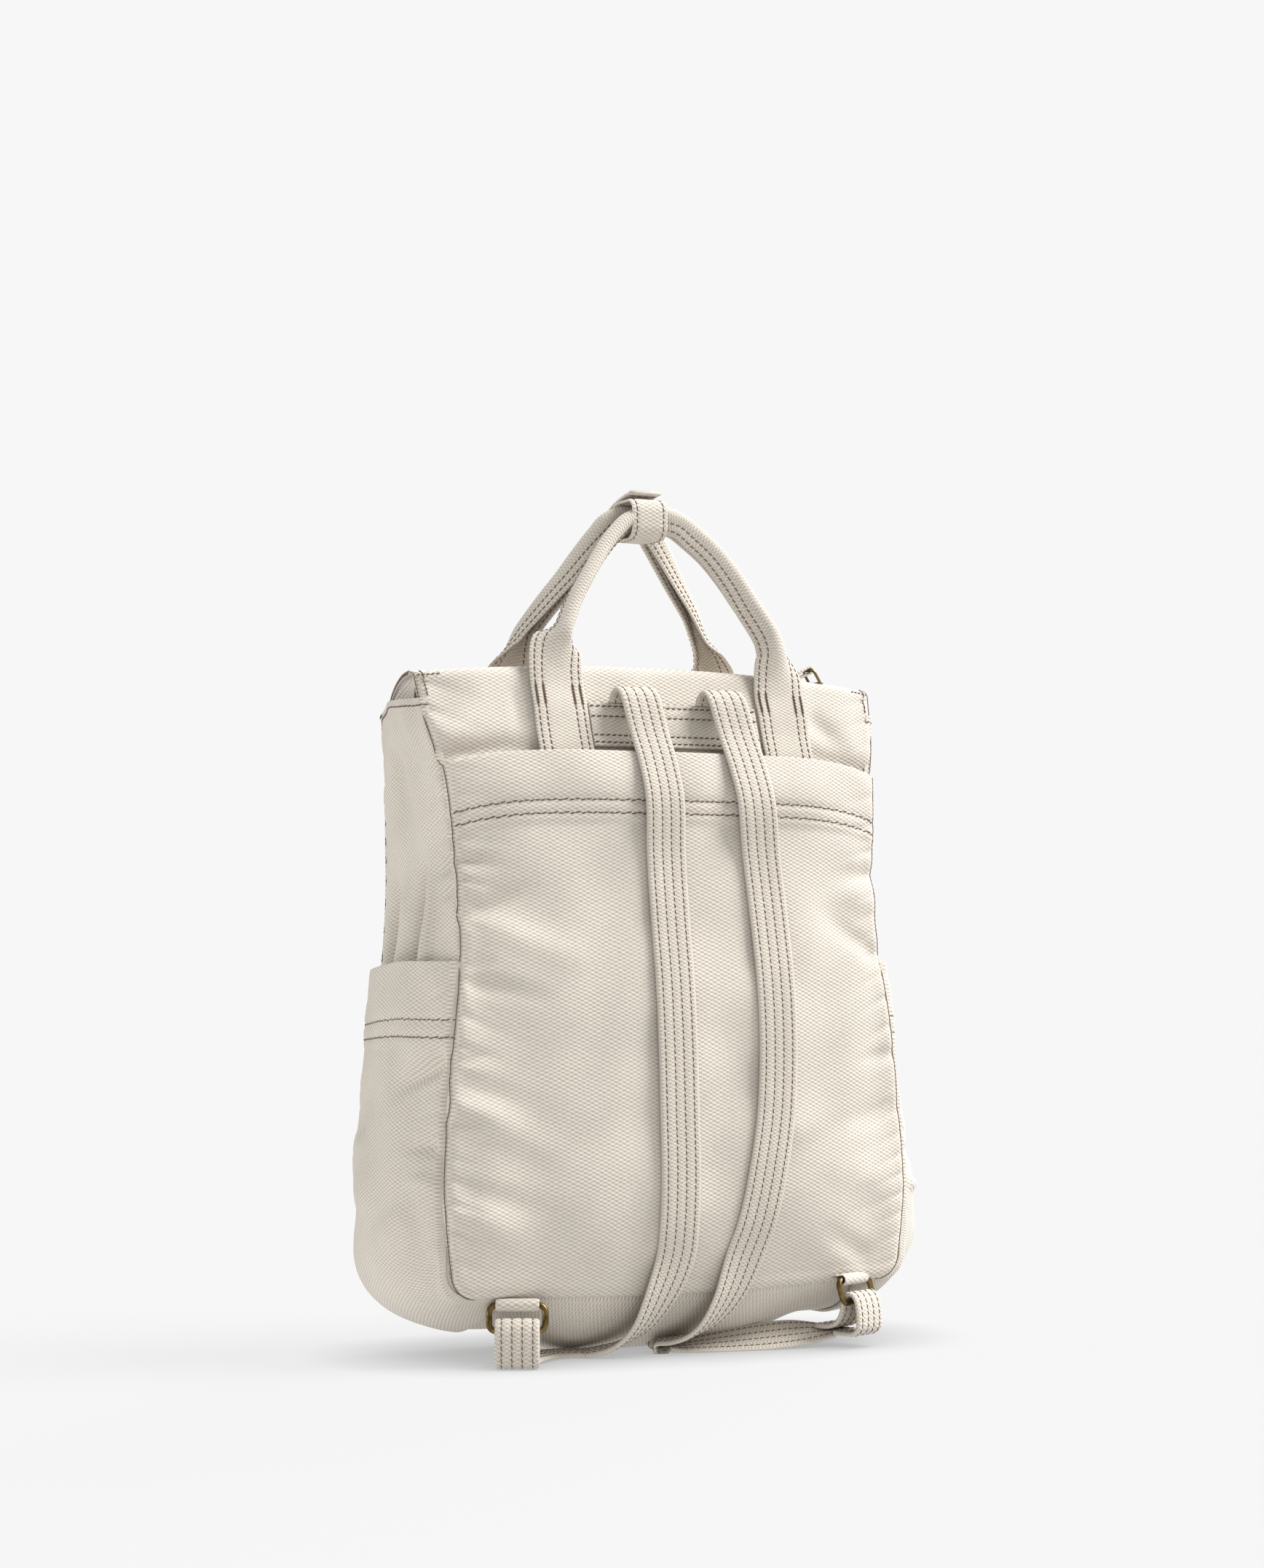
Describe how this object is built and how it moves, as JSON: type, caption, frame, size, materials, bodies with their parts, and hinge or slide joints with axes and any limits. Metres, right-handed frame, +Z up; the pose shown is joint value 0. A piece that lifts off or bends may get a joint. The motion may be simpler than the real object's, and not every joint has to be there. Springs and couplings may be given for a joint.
{
  "type": "cotton backpack",
  "caption": "Upright canvas backpack with zipped top, tote handles bundled by a keeper, webbing shoulder straps, a slip pocket on the back and open side pockets.",
  "frame": {"origin": "on the floor under the middle of the bag, on the flat of its base", "axes": "+Z up, -Y out of the harness side, +X to the right as seen from the harness side"},
  "size_m": [0.3257, 0.1579, 0.4765],
  "materials": {
    "canvas": "undyed heavy cotton canvas, coarse plain weave",
    "strapping": "folded cotton canvas strap, brown topstitching",
    "zip_tape": "woven cotton zip tape",
    "brass": "antique brass, burnished on the edges",
    "thread": "dark brown sewing thread"
  },
  "bodies": {
    "root": {"back_panel": "canvas", "back_pocket": "canvas", "front_panel": "canvas", "gusset": "canvas", "side_pocket_left": "canvas", "side_pocket_right": "canvas", "strap_band": "strapping", "strap_left": "strapping", "strap_right": "strapping", "ring_left": "brass", "ring_right": "brass", "ring_tab_left": "canvas", "ring_tab_right": "canvas", "handle_back": "strapping", "handle_front": "strapping", "handle_keeper": "canvas", "zip_tape_back": "zip_tape", "zip_tape_front": "zip_tape", "zip_coil": "brass", "zip_slider": "brass", "zip_pull": "brass", "zip_pull_tab": "canvas"}
  },
  "joints": []
}
